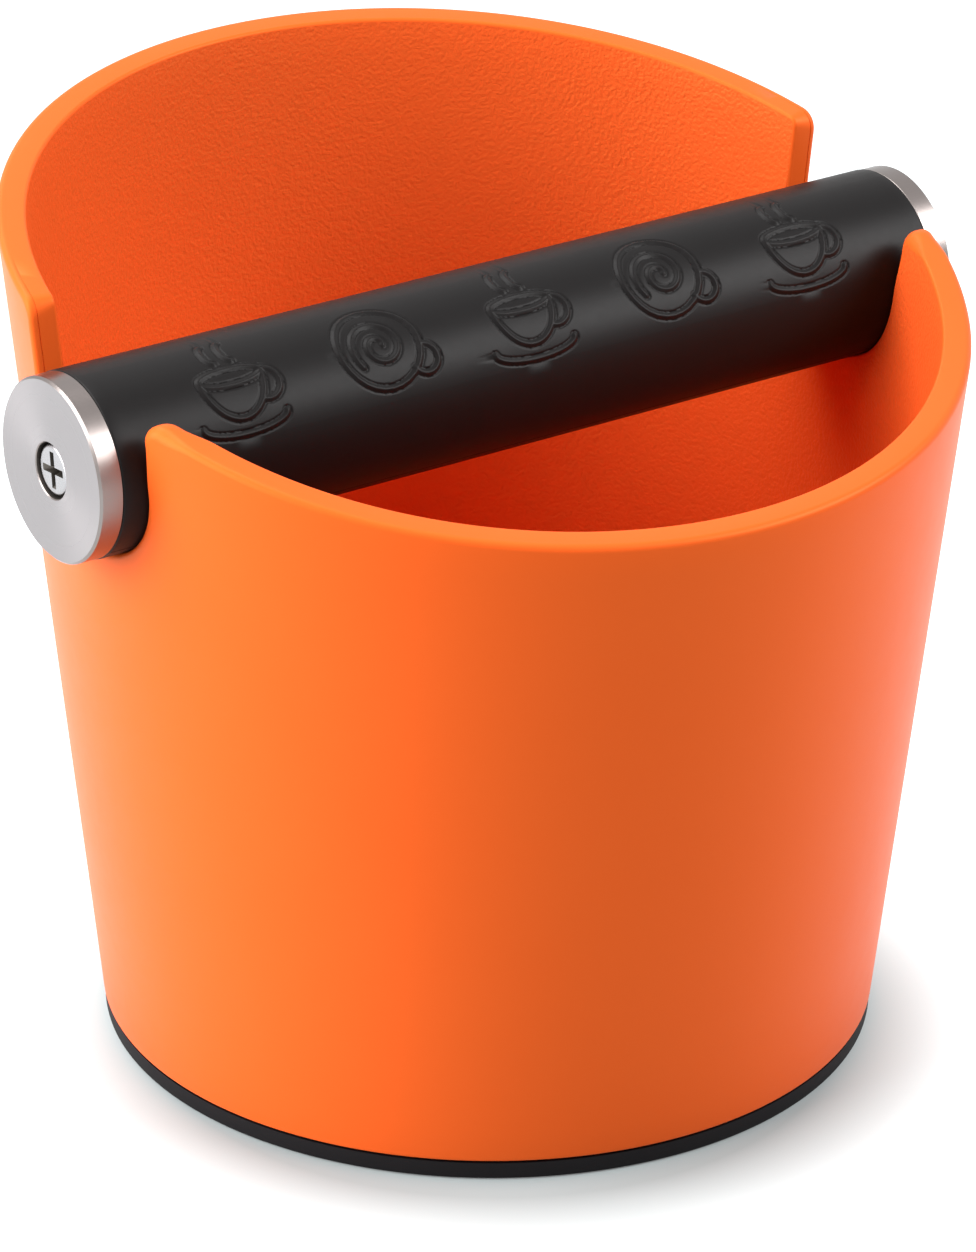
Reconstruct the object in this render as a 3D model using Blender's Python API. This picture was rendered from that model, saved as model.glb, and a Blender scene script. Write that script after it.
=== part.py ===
"""A counter-top espresso knock box.

A tapered bin with a slanted rim stands on a rubber base that is pressed up into its underside. A steel
knock bar in a rubber sleeve, closed by a screwed cap at each end, lies across the bin in two notches
and lifts straight out of them.

Metres, +Z up. The origin is the centre of the base's flat underside. The bar runs along X, the low lip
of the bin faces -Y and its tall back faces +Y.
"""

import math

import bpy
from mathutils import Vector

# Gap that neighbouring pieces keep
CLEARANCE = 0.0003

# Rubber base: what shows of it, and the spigot that goes up into the bin
BASE_HEIGHT = 0.0023
BASE_SETBACK = 0.0002
BASE_EDGE = 0.0005
SPIGOT_HEIGHT = 0.0015

# Bin shell
BIN_BASE_RADIUS = 0.0500
BIN_DRAFT = math.radians(5.9)
BIN_WALL = 0.0037
BIN_FLOOR = 0.0035
BIN_FOOT_LAND = 0.0060
BIN_LOWER_EDGE = 0.0004
FLOOR_FILLET = 0.0050
RIM_OUTER_ROUND = 0.0012
RIM_INNER_ROUND = 0.0005

# Knock bar: height of its axis over the counter, and its pieces
BAR_HEIGHT = 0.0888
SLEEVE_RADIUS = 0.0116
SLEEVE_OVERHANG = 0.0017
SLEEVE_EDGE = 0.0005
CORE_RADIUS = 0.0060
CAP_SETBACK = 0.0001
CAP_THICKNESS = 0.0028
CAP_CHAMFER = 0.0003

# Cap screws
HEAD_RADIUS = 0.0032
HEAD_HEIGHT = 0.0014
HEAD_SINK = 0.0003
HEAD_EDGE = 0.0005
SHANK_RADIUS = 0.0020
SHANK_LENGTH = 0.0100
CROSS_REACH = 0.0023
CROSS_WIDTH = 0.0009
CROSS_DEPTH = 0.0011
CROSS_TURN = math.radians(6)

# Rim: heights over the bar's axis where the two rim lines meet the notch, how far each line falls to
# the front lip or rises to the back, and how much it sags or swells between its ends
FRONT_PEAK_RISE = 0.0099
FRONT_LIP_DROP = 0.0104
FRONT_SAG = 0.0007
BACK_PEAK_RISE = 0.0164
BACK_TOP_RISE = 0.0093
BACK_SWELL = 0.0004

# Corners between the rim and the notch, on the bin's outer and inner surface
FRONT_CORNER = 0.0027
BACK_CORNER = 0.0030
FRONT_INNER_CORNER = 0.0026
BACK_INNER_CORNER = 0.0013

# Cutter that stands over the face it cuts
CUT_OVERRUN = 0.0010

# Shares of the sizes that they follow
ROUND_LIMIT_SHARE = 0.42
FAN_SHARE = 1.35
CROSS_FLOOR_SHARE = 0.55

# Steps of the round and ruled stretches
LINE_STEPS = 20
FRONT_CORNER_STEPS = 5
FRONT_SIDE_STEPS = 2
BOTTOM_STEPS = 14
BACK_SIDE_STEPS = 4
BACK_CORNER_STEPS = 4
WALL_ROWS = 4
ROUND_STEPS = 3
EDGE_STEPS = 2
FILLET_STEPS = 4
BASE_SEGMENTS = 96
BAR_SEGMENTS = 48
CORE_SEGMENTS = 32

# Rounds in which a height on the tapered wall is found
HEIGHT_ROUNDS = 8

# Worked out from the sizes above
QUARTER = math.pi / 2
BIN_BOTTOM = BASE_HEIGHT + CLEARANCE
RECESS_CEILING = BIN_BOTTOM + SPIGOT_HEIGHT
RECESS_RADIUS = BIN_BASE_RADIUS - BIN_FOOT_LAND
FLOOR_TOP = RECESS_CEILING + BIN_FLOOR
NOTCH_RADIUS = SLEEVE_RADIUS + CLEARANCE
CAP_RADIUS = SLEEVE_RADIUS - CAP_SETBACK
FRONT_PEAK = BAR_HEIGHT + FRONT_PEAK_RISE
BACK_PEAK = BAR_HEIGHT + BACK_PEAK_RISE


def outer_radius(z):
    return BIN_BASE_RADIUS + math.tan(BIN_DRAFT) * (z - BIN_BOTTOM)


def inner_radius(z):
    return outer_radius(z) - BIN_WALL


SLEEVE_HALF = outer_radius(BAR_HEIGHT) + SLEEVE_OVERHANG
CAP_SEAT = SLEEVE_HALF + CLEARANCE


def clear_scene():
    for old in list(bpy.data.objects):
        bpy.data.objects.remove(old, do_unlink=True)


def make_material(name, color, roughness, metallic):
    material = bpy.data.materials.new(name)
    material.use_nodes = True
    shader = material.node_tree.nodes["Principled BSDF"]
    shader.inputs["Base Color"].default_value = (*color, 1.0)
    shader.inputs["Roughness"].default_value = roughness
    shader.inputs["Metallic"].default_value = metallic
    material.diffuse_color = (*color, 1.0)
    return material


def skin(rings, looped=False):
    """Vertices and faces of a skin over rings of equal length. Open ends are closed by flat caps."""
    count = len(rings[0])
    vertices = [point for ring in rings for point in ring]
    faces = []
    for row in range(len(rings) if looped else len(rings) - 1):
        low = row * count
        high = (row + 1) % len(rings) * count
        for step in range(count):
            after = (step + 1) % count
            faces.append((low + step, low + after, high + after, high + step))
    if not looped:
        faces.append(tuple(reversed(range(count))))
        faces.append(tuple(range(len(vertices) - count, len(vertices))))
    return vertices, faces


def make_object(name, vertices, faces, material=None):
    mesh = bpy.data.meshes.new(name)
    mesh.from_pydata(vertices, [], faces)
    mesh.shade_smooth()
    mesh.set_sharp_from_angle(angle=math.radians(35))
    if material:
        mesh.materials.append(material)
    piece = bpy.data.objects.new(name, mesh)
    bpy.context.scene.collection.objects.link(piece)
    return piece


def turned(profile, segments):
    """Rings about Z for a profile of (radius, height) points that runs outwards, then upwards."""
    rings = []
    for radius, height in profile:
        ring = []
        for step in range(segments):
            angle = 2 * math.pi * step / segments
            ring.append((radius * math.cos(angle), radius * math.sin(angle), height))
        rings.append(ring)
    return rings


def arc(centre, radius, start, end, steps):
    """Points of an arc about a centre in a plane, from the start angle to the end angle."""
    points = []
    for step in range(steps + 1):
        angle = start + (end - start) * step / steps
        points.append((centre[0] + radius * math.cos(angle), centre[1] + radius * math.sin(angle)))
    return points


def between(start, end, steps):
    """Points that lie evenly between two others, without either of them."""
    points = []
    for step in range(1, steps):
        share = step / steps
        points.append(tuple(a + (b - a) * share for a, b in zip(start, end)))
    return points


class RimLine:
    """A rim line seen along X, from the notch's edge to the far side of the bin, with a slight bow."""

    def __init__(self, edge_y, edge_z, far_z, bow):
        self.edge_y = edge_y
        self.edge_z = edge_z
        self.length = math.copysign(outer_radius(far_z), edge_y) - edge_y
        self.rise = far_z - edge_z
        self.bow = bow

    def height(self, y):
        share = (y - self.edge_y) / self.length
        return self.edge_z + self.rise * share + 4 * self.bow * share * (1 - share)

    def tilt(self, y):
        share = (y - self.edge_y) / self.length
        return math.atan((self.rise + 4 * self.bow * (1 - 2 * share)) / self.length)

    def corner_centre(self, y, radius):
        return y, self.height(y) - radius / math.cos(self.tilt(y))

    def height_at_angle(self, angle, inset):
        """Height where the line crosses the cone that lies inset within the bin's outer surface."""
        z = self.edge_z
        for _ in range(HEIGHT_ROUNDS):
            z = self.height(math.sin(angle) * (outer_radius(z) - inset))
        return z


def rim_lines():
    front = RimLine(-NOTCH_RADIUS, FRONT_PEAK, FRONT_PEAK - FRONT_LIP_DROP, -FRONT_SAG)
    back = RimLine(NOTCH_RADIUS, BACK_PEAK, BACK_PEAK + BACK_TOP_RISE, BACK_SWELL)
    return front, back


def notch_outline(front, back, front_corner, back_corner):
    """The notch seen along X, as (y, z) points from the front rim line to the back one."""
    front_y = -NOTCH_RADIUS - front_corner
    back_y = NOTCH_RADIUS + back_corner
    front_centre = front.corner_centre(front_y, front_corner)
    back_centre = back.corner_centre(back_y, back_corner)
    front_start = QUARTER + front.tilt(front_y)
    back_end = QUARTER + back.tilt(back_y)
    front_arc = arc(front_centre, front_corner, front_start, 0, FRONT_CORNER_STEPS)
    bottom_arc = arc((0, BAR_HEIGHT), NOTCH_RADIUS, math.pi, 2 * math.pi, BOTTOM_STEPS)
    back_arc = arc(back_centre, back_corner, math.pi, back_end, BACK_CORNER_STEPS)
    front_side = between(front_arc[-1], bottom_arc[0], FRONT_SIDE_STEPS)
    back_side = between(bottom_arc[-1], back_arc[0], BACK_SIDE_STEPS)
    return front_arc + front_side + bottom_arc + back_side + back_arc


def rim_edge(inset, front_corner, back_corner):
    """Half of the rim's edge, from the front centre round by +X to the back centre, as (angle, z)."""
    front, back = rim_lines()
    notch = []
    for y, z in notch_outline(front, back, front_corner, back_corner):
        notch.append((math.asin(y / (outer_radius(z) - inset)), z))
    edge = []
    for step in range(LINE_STEPS):
        angle = -QUARTER + (notch[0][0] + QUARTER) * step / LINE_STEPS
        edge.append((angle, front.height_at_angle(angle, inset)))
    edge += notch
    for step in range(1, LINE_STEPS + 1):
        angle = notch[-1][0] + (QUARTER - notch[-1][0]) * step / LINE_STEPS
        edge.append((angle, back.height_at_angle(angle, inset)))
    return edge


def foot_angles(edge):
    """Angles at the bin's foot under the points of half a rim edge, spread wider than the notch."""
    first = edge[LINE_STEPS][0] * FAN_SHARE
    last = edge[-LINE_STEPS - 1][0] * FAN_SHARE
    inner_steps = len(edge) - 1 - 2 * LINE_STEPS
    angles = [-QUARTER + (first + QUARTER) * step / LINE_STEPS for step in range(LINE_STEPS)]
    angles += [first + (last - first) * step / inner_steps for step in range(inner_steps)]
    angles += [last + (QUARTER - last) * step / LINE_STEPS for step in range(LINE_STEPS + 1)]
    return angles


def on_cone(angle, z, inset):
    radius = outer_radius(z) - inset
    return Vector((radius * math.cos(angle), radius * math.sin(angle), z))


def both_halves(half):
    """A full ring from the points of its +X half, which starts and ends on the plane of symmetry."""
    other = [Vector((-point.x, point.y, point.z)) for point in reversed(half[1:-1])]
    return half + other


def into_wall(ring):
    """Unit directions that lie in the wall and point from the rim's edge into the material."""
    directions = []
    for step, point in enumerate(ring):
        along = ring[(step + 1) % len(ring)] - ring[step - 1]
        flat = math.hypot(point.x, point.y)
        lean = math.tan(BIN_DRAFT)
        outwards = Vector((point.x / flat, point.y / flat, -lean))
        directions.append(along.cross(outwards).normalized())
    return directions


def limited_round(size, *corners):
    """The radius of one of the rim's edges, which the wall and the corners limit."""
    return min(size, min(BIN_WALL, *corners) * ROUND_LIMIT_SHARE)


def rim_rings(outer_edge, inner_edge):
    """Rings over the rim, from the outer surface, round both edges, to the inner surface."""
    outer = both_halves([on_cone(angle, z, 0) for angle, z in outer_edge])
    inner = both_halves([on_cone(angle, z, BIN_WALL) for angle, z in inner_edge])
    outer_down = into_wall(outer)
    inner_down = into_wall(inner)
    inwards = [(b - a).normalized() for a, b in zip(outer, inner)]
    outer_round = limited_round(RIM_OUTER_ROUND, FRONT_CORNER, BACK_CORNER)
    inner_round = limited_round(RIM_INNER_ROUND, FRONT_INNER_CORNER, BACK_INNER_CORNER)
    angles = [QUARTER * step / ROUND_STEPS for step in range(ROUND_STEPS + 1)]
    rings = []
    for angle in angles:
        low = outer_round * (1 - math.sin(angle))
        deep = outer_round * (1 - math.cos(angle))
        rings.append([p + d * low + i * deep for p, d, i in zip(outer, outer_down, inwards)])
    for angle in reversed(angles):
        low = inner_round * (1 - math.sin(angle))
        deep = inner_round * (1 - math.cos(angle))
        rings.append([p + d * low - i * deep for p, d, i in zip(inner, inner_down, inwards)])
    return rings


def level_ring(angles, radius, z):
    half = [Vector((radius * math.cos(angle), radius * math.sin(angle), z)) for angle in angles]
    return both_halves(half)


def wall_rings(foot, foot_z, top, inset):
    """Rings of the wall between its foot and the ring at its top, without either of them."""
    half_top = top[: len(foot)]
    rings = []
    for row in range(1, WALL_ROWS):
        share = row / WALL_ROWS
        half = []
        for angle, point in zip(foot, half_top):
            turn = angle + (math.atan2(point.y, point.x) - angle) * share
            half.append(on_cone(turn, foot_z + (point.z - foot_z) * share, inset))
        rings.append(both_halves(half))
    return rings


def bin_rings():
    outer_edge = rim_edge(0, FRONT_CORNER, BACK_CORNER)
    inner_edge = rim_edge(BIN_WALL, FRONT_INNER_CORNER, BACK_INNER_CORNER)
    foot = foot_angles(outer_edge)
    rim = rim_rings(outer_edge, inner_edge)
    edge_z = BIN_BOTTOM + BIN_LOWER_EDGE
    fillet_z = FLOOR_TOP + FLOOR_FILLET
    edge_centre = (outer_radius(edge_z) - BIN_LOWER_EDGE, edge_z)
    fillet_centre = (inner_radius(fillet_z) - FLOOR_FILLET, fillet_z)
    profile = [(RECESS_RADIUS, RECESS_CEILING), (RECESS_RADIUS, BIN_BOTTOM)]
    profile += arc(edge_centre, BIN_LOWER_EDGE, -QUARTER, 0, EDGE_STEPS)
    rings = [level_ring(foot, radius, z) for radius, z in profile]
    rings += wall_rings(foot, edge_z, rim[0], 0)
    rings += rim
    rings += reversed(wall_rings(foot, fillet_z, rim[-1], BIN_WALL))
    fillet = arc(fillet_centre, FLOOR_FILLET, 0, -QUARTER, FILLET_STEPS)
    rings += [level_ring(foot, radius, z) for radius, z in fillet]
    return rings


def make_bin():
    material = make_material("bin_plastic", (0.88, 0.14, 0.02), 0.40, 0.0)
    make_object("bin_body", *skin(bin_rings()), material)


def make_base():
    """Rubber base with its spigot, which keeps the clearance to the recess all round."""
    material = make_material("base_rubber", (0.02, 0.018, 0.02), 0.75, 0.0)
    radius = BIN_BASE_RADIUS - BASE_SETBACK
    spigot = RECESS_RADIUS - CLEARANCE
    profile = arc((radius - BASE_EDGE, BASE_EDGE), BASE_EDGE, -QUARTER, 0, EDGE_STEPS)
    profile += [
        (radius, BASE_HEIGHT),
        (spigot, BASE_HEIGHT),
        (spigot, RECESS_CEILING - CLEARANCE),
    ]
    make_object("non_slip_base", *skin(turned(profile, BASE_SEGMENTS)), material)


def make_bar_axis():
    axis = bpy.data.objects.new("knock_bar_axis", None)
    axis.location = (0, 0, BAR_HEIGHT)
    bpy.context.scene.collection.objects.link(axis)
    return axis


def place_on_bar(piece, axis, x, side):
    """Puts a piece on the bar's axis, with its own +Z towards the named side, +1 or -1."""
    piece.parent = axis
    piece.location = (x, 0, 0)
    piece.rotation_euler = (0, side * QUARTER, 0)


def make_sleeve(axis):
    material = make_material("sleeve_rubber", (0.022, 0.020, 0.020), 0.55, 0.0)
    bore = CORE_RADIUS + CLEARANCE
    end = SLEEVE_HALF - SLEEVE_EDGE
    shoulder = SLEEVE_RADIUS - SLEEVE_EDGE
    profile = [(bore, -SLEEVE_HALF)]
    profile += arc((shoulder, -end), SLEEVE_EDGE, -QUARTER, 0, EDGE_STEPS)
    profile += arc((shoulder, end), SLEEVE_EDGE, 0, QUARTER, EDGE_STEPS)
    profile += [(bore, SLEEVE_HALF)]
    rings = turned(profile, BAR_SEGMENTS)
    sleeve = make_object("bar_sleeve", *skin(rings, looped=True), material)
    place_on_bar(sleeve, axis, 0, 1)


def make_core(axis):
    """Steel rod with a blind hole in each end, deep enough for the screws with room at the tip."""
    material = make_material("core_steel", (0.45, 0.45, 0.46), 0.35, 1.0)
    hole = SHANK_RADIUS + CLEARANCE
    head_seat = CAP_SEAT + CAP_THICKNESS - HEAD_SINK - HEAD_HEIGHT
    bottom = head_seat - SHANK_LENGTH - CLEARANCE
    profile = [
        (hole, -bottom),
        (hole, -SLEEVE_HALF),
        (CORE_RADIUS, -SLEEVE_HALF),
        (CORE_RADIUS, SLEEVE_HALF),
        (hole, SLEEVE_HALF),
        (hole, bottom),
    ]
    core = make_object("bar_core", *skin(turned(profile, CORE_SEGMENTS)), material)
    place_on_bar(core, axis, 0, 1)


def make_cap(name, axis, side):
    """End cap with a counterbore that sinks the screw's head under its face."""
    material = make_material(name + "_steel", (0.62, 0.60, 0.62), 0.30, 1.0)
    hole = SHANK_RADIUS + CLEARANCE
    counterbore = HEAD_RADIUS + CLEARANCE
    shelf = CAP_THICKNESS - HEAD_SINK - HEAD_HEIGHT - CLEARANCE
    profile = [
        (hole, 0),
        (CAP_RADIUS - CAP_CHAMFER, 0),
        (CAP_RADIUS, CAP_CHAMFER),
        (CAP_RADIUS, CAP_THICKNESS - CAP_CHAMFER),
        (CAP_RADIUS - CAP_CHAMFER, CAP_THICKNESS),
        (counterbore, CAP_THICKNESS),
        (counterbore, shelf),
        (hole, shelf),
    ]
    cap = make_object(name, *skin(turned(profile, BAR_SEGMENTS), looped=True), material)
    place_on_bar(cap, axis, side * CAP_SEAT, side)


def cross_outline(reach, half_width, z):
    """A plus sign with four equal arms, at height z."""
    corners = ((reach, -half_width), (reach, half_width), (half_width, half_width))
    points = []
    for quarter in range(4):
        cosine = round(math.cos(quarter * QUARTER))
        sine = round(math.sin(quarter * QUARTER))
        for x, y in corners:
            points.append((x * cosine - y * sine, x * sine + y * cosine, z))
    return points


def make_cross_cutter(name, top):
    """Tapered cross that opens at the head's top face and narrows towards its floor."""
    half_width = CROSS_WIDTH / 2
    floor = top - CROSS_DEPTH
    rings = [
        cross_outline(CROSS_REACH * CROSS_FLOOR_SHARE, half_width * CROSS_FLOOR_SHARE, floor),
        cross_outline(CROSS_REACH, half_width, top),
        cross_outline(CROSS_REACH, half_width, top + CUT_OVERRUN),
    ]
    cutter = make_object(name, *skin(rings))
    cutter.hide_render = True
    cutter.display_type = "WIRE"
    return cutter


def make_screw(name, axis, side):
    """Pan-head screw with a cross recess. Its head's underside is at its own z = 0."""
    material = make_material(name + "_steel", (0.66, 0.66, 0.68), 0.25, 1.0)
    head_centre = (HEAD_RADIUS - HEAD_EDGE, HEAD_HEIGHT - HEAD_EDGE)
    profile = [(SHANK_RADIUS, -SHANK_LENGTH), (SHANK_RADIUS, 0), (HEAD_RADIUS, 0)]
    profile += arc(head_centre, HEAD_EDGE, 0, QUARTER, EDGE_STEPS)
    screw = make_object(name, *skin(turned(profile, CORE_SEGMENTS)), material)
    cutter = make_cross_cutter(name + "_cross", HEAD_HEIGHT)
    cutter.parent = screw
    cutter.rotation_euler = (0, 0, CROSS_TURN)
    recess = screw.modifiers.new("cross_recess", "BOOLEAN")
    recess.operation = "DIFFERENCE"
    recess.solver = "EXACT"
    recess.object = cutter
    head_seat = CAP_SEAT + CAP_THICKNESS - HEAD_SINK - HEAD_HEIGHT
    place_on_bar(screw, axis, side * head_seat, side)


def main():
    clear_scene()
    make_bin()
    make_base()
    axis = make_bar_axis()
    make_sleeve(axis)
    make_core(axis)
    for label, side in (("left", -1), ("right", 1)):
        make_cap(label + "_end_cap", axis, side)
        make_screw(label + "_cap_screw", axis, side)


main()
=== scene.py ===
"""Looks of the espresso knock box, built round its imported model.

Every piece is in metres in the row's frame: +Z up, the knock bar along X, the bin's low lip towards -Y.
"""

import math

import bpy
import numpy as np
from mathutils import Matrix, Vector


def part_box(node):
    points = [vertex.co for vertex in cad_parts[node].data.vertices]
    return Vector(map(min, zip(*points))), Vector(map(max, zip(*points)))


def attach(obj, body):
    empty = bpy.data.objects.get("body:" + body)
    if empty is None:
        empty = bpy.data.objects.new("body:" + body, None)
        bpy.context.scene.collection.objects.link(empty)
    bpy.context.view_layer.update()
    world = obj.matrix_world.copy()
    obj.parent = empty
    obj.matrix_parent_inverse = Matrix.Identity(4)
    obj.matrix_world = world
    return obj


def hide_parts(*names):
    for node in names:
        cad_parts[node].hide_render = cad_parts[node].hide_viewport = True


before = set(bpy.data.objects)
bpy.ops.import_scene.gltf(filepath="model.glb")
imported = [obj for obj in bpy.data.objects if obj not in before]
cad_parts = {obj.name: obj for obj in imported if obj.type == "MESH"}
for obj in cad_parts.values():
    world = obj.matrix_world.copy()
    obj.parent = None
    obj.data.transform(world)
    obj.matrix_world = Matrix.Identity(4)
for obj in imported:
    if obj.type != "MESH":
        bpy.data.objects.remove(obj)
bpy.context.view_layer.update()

MM = 0.001
QUARTER = math.pi / 2

# Camera: where it stands round the object, and its lens on a 36 mm sensor
CAMERA_AZIMUTH = math.radians(-34.89)
CAMERA_ELEVATION = math.radians(25.29)
CAMERA_ROLL = math.radians(0.493)
CAMERA_DISTANCE = 728.14 * MM
CAMERA_TARGET = Vector((-0.35 * MM, 0, 51.86 * MM))
CAMERA_LENS = 164.94
CAMERA_SENSOR = 36

# Sizes that the frame gives
SLEEVE_LOW, SLEEVE_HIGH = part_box("bar_sleeve")
BASE_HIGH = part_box("non_slip_base")[1]
CAP_LOW, CAP_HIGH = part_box("right_end_cap")
HEAD_LOW, HEAD_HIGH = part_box("right_cap_screw")
SLEEVE_RADIUS = (SLEEVE_HIGH.z - SLEEVE_LOW.z) / 2
BAR_HEIGHT = (SLEEVE_HIGH.z + SLEEVE_LOW.z) / 2
SLEEVE_HALF = SLEEVE_HIGH.x
BIN_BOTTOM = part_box("bin_body")[0].z
BASE_RADIUS = BASE_HIGH.x
SPIGOT_TOP = BASE_HIGH.z
CAP_RADIUS = (CAP_HIGH.z - CAP_LOW.z) / 2
CAP_THICKNESS = CAP_HIGH.x - CAP_LOW.x
CAP_SEAT = CAP_LOW.x
HEAD_RADIUS = (HEAD_HIGH.z - HEAD_LOW.z) / 2
HEAD_FACE = HEAD_HIGH.x

# Sizes of the bin that its box doesn't give
CLEARANCE = 0.3 * MM
BIN_BASE_RADIUS = BASE_RADIUS + 0.2 * MM
BIN_DRAFT = math.radians(5.9)
BIN_WALL = 3.7 * MM
BIN_FOOT_LAND = 6 * MM
BIN_FLOOR = 3.5 * MM
BIN_LOWER_EDGE = 0.4 * MM
FLOOR_FILLET = 5 * MM
RIM_OUTER_ROUND = 0.85 * MM
RIM_INNER_ROUND = 0.4 * MM
NOSE_ROUND = 1.6 * MM
NOSE_FADE_STEPS = 7
FRONT_PEAK_RISE = 9.9 * MM
FRONT_LIP_DROP = 10.4 * MM
FRONT_SAG = 0.7 * MM
BACK_PEAK_RISE = 16.4 * MM
BACK_TOP_RISE = 9.3 * MM
BACK_SWELL = 0.4 * MM
FRONT_CORNER = 2.6 * MM
BACK_CORNER = 3 * MM
FRONT_INNER_CORNER = 2.5 * MM
BACK_INNER_CORNER = 1.3 * MM
FAN_SHARE = 1.35
NOTCH_RADIUS = SLEEVE_RADIUS + CLEARANCE
RECESS_CEILING = SPIGOT_TOP + CLEARANCE
RECESS_RADIUS = BIN_BASE_RADIUS - BIN_FOOT_LAND
FLOOR_TOP = RECESS_CEILING + BIN_FLOOR
FRONT_PEAK = BAR_HEIGHT + FRONT_PEAK_RISE
BACK_PEAK = BAR_HEIGHT + BACK_PEAK_RISE

# The shell's notch hugs the sleeve more closely than the solid's
HUG_GAP = 0.05 * MM

# Parting line of the mould, which shows in the back end faces and fades out along the rim
PARTING_INSET = 1.1 * MM
PARTING_HALF_WIDTH = 0.09 * MM
PARTING_DEPTH = 0.07 * MM
PARTING_FADE_STEPS = 10

# Steps of the bin's mesh
LINE_STEPS = 110
FRONT_CORNER_STEPS = 14
FRONT_SIDE_STEPS = 8
BOTTOM_STEPS = 48
BACK_SIDE_STEPS = 16
BACK_CORNER_STEPS = 14
WALL_ROWS = 24
ROUND_STEPS = 6
EDGE_STEPS = 4
FILLET_STEPS = 10
HEIGHT_ROUNDS = 8

# Rubber base
BASE_EDGE = 0.5 * MM
BASE_TOP = BIN_BOTTOM - CLEARANCE
BASE_SEGMENTS = 288

# Sleeve: bore, round ends, and the fine seam that its mould left on two sides
SLEEVE_BORE = 6.3 * MM
SLEEVE_EDGE = 0.2 * MM
SEAM_ANGLE = math.radians(-133)
SEAM_HALF_WIDTH = 0.14  # in millimetres, as the height is
SEAM_HEIGHT = 0.06

# Relief on the sleeve, in millimetres on its unrolled surface. Its middle is turned from +Y towards +Z.
RELIEF_ANGLE = math.radians(129)
RELIEF_REACH = 7.2
MOTIF_PITCH = 21.0
MOTIF_COUNT = 5
RIDGE_HALF_WIDTH = 0.38
RIDGE_HEIGHT = 0.18
GROOVE_WIDTH = 0.30
GROOVE_DEPTH = 0.13
STROKE_STEPS = 28

# Mesh steps of the sleeve, in millimetres
FINE_STEP = 0.135
SEAM_STEP = 0.1
COARSE_STEP = 1.5

# End caps and their screws
CAP_CHAMFER = 0.3 * MM
CAP_BACK_EDGE = 0.05 * MM
CAP_GAP = 0.05 * MM
MOUTH_CHAMFER = 0.12 * MM
SHANK_RADIUS = 2 * MM
SHANK_LENGTH = 10 * MM
HEAD_HEIGHT = 1.4 * MM
HEAD_EDGE = 0.5 * MM
HEAD_SINK = CAP_HIGH.x - HEAD_FACE
CROSS_REACH = 2.3 * MM
CROSS_WIDTH = 0.9 * MM
CROSS_DEPTH = 1.1 * MM
CROSS_FLOOR_SHARE = 0.55
CROSS_TURN = math.radians(6)
CUT_OVERRUN = 1 * MM
CAP_SEGMENTS = 256
SCREW_SEGMENTS = 96

# Angles, in degrees, over which the edges of a piece are drawn sharp
SHARP_MOULDING = 40
SHARP_RELIEF = 60
SHARP_METAL = 30

# Colours and gloss of the materials, each colour as it is written
PLASTIC_OUTSIDE = (0.90, 0.115, 0.016)
# The inside's colour is darker than the outside's, as painted shade for the bin's dim inside
PLASTIC_INSIDE_SHADED = (0.80, 0.105, 0.018)
PLASTIC_GLOSS = 0.25
PLASTIC_GLOSS_TINT = (1, 0.74, 0.18, 1)
BASE_RUBBER = (0.008, 0.0065, 0.0075)
SLEEVE_RUBBER = (0.008, 0.007, 0.007)
BASE_RUBBER_GLOSS = 0.15
SLEEVE_RUBBER_GLOSS = 0.12
TURNED_STEEL = (0.31, 0.28, 0.285)
POLISHED_STEEL = (0.24, 0.21, 0.20)
SCREW_STEEL = (0.38, 0.36, 0.37)
CORE_STEEL = (0.45, 0.45, 0.46)
# Steel of the caps' counterbores and the screws' crosses, dark as painted shade
RECESS_SHADE_STEEL = (0.10, 0.09, 0.08)
TURNED_ANISOTROPY = 0.6
FINE_BUMP = 0.004 * MM
GRAIN_BUMP = 0.13 * MM

# Studio lamps: bearing from +X towards +Y and elevation in degrees, distance, width and height in metres,
# and radiance, where 1 lights a white card that it surrounds to white
LAMPS = (
    ("left_softbox", 168, 22, 0.55, 0.48, 0.50, 8.0),
    ("right_softbox", 318, 36, 1.10, 0.75, 0.50, 10.5),
    ("back_softbox", 118, 66, 1.0, 0.80, 0.70, 5.5),
)
LAMP_AIM = Vector((0, 0, 50 * MM))

# The room's light on dull surfaces. The camera and gloss see a white room.
ROOM_FILL = 0.12

# The floor lies a little below the flat base, so that the two never coincide
FLOOR_DROP = 0.05 * MM

# White floor: its colour, tinted bluish against the orange light that the bin throws on it, its half width
# in metres, and its glow, low round SHADE_CENTRE as a painted shadow by the object and full far from it,
# where it is white
FLOOR_COLOR = (0.29, 0.335, 0.34)
FLOOR_HALF = 6.0
SHADE_CENTRE = (-0.0045, -0.0078, 0)
PAINTED_SHADOW_GLOW = 0.14
FAR_GLOW = 1.0
NEAR_REACH = 0.045
FAR_REACH = 0.063


def add_piece(name, vertices, faces, body, node, slot, sharp=SHARP_MOULDING):
    """A smooth piece in the row's frame that rides on a body and stands for a node."""
    mesh = bpy.data.meshes.new(name)
    mesh.from_pydata(vertices, [], faces)
    mesh.shade_smooth()
    mesh.set_sharp_from_angle(angle=math.radians(sharp))
    piece = bpy.data.objects.new(name, mesh)
    bpy.context.scene.collection.objects.link(piece)
    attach(piece, body)
    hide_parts(node)
    return piece


def paint(piece, materials, indices=None):
    """Gives a piece its materials, and each face the index of its own."""
    for material in materials:
        piece.data.materials.append(material)
    if indices is not None:
        piece.data.polygons.foreach_set("material_index", np.asarray(indices, dtype=np.int32))


def skin(rings, looped=False):
    """Vertices and faces of a skin over rings of equal length. Open ends are closed by flat caps."""
    count = len(rings[0])
    vertices = [tuple(point) for ring in rings for point in ring]
    faces = []
    for row in range(len(rings) if looped else len(rings) - 1):
        low = row * count
        high = (row + 1) % len(rings) * count
        for step in range(count):
            after = (step + 1) % count
            faces.append((low + step, low + after, high + after, high + step))
    if not looped:
        faces.append(tuple(reversed(range(count))))
        faces.append(tuple(range(len(vertices) - count, len(vertices))))
    return vertices, faces


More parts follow.
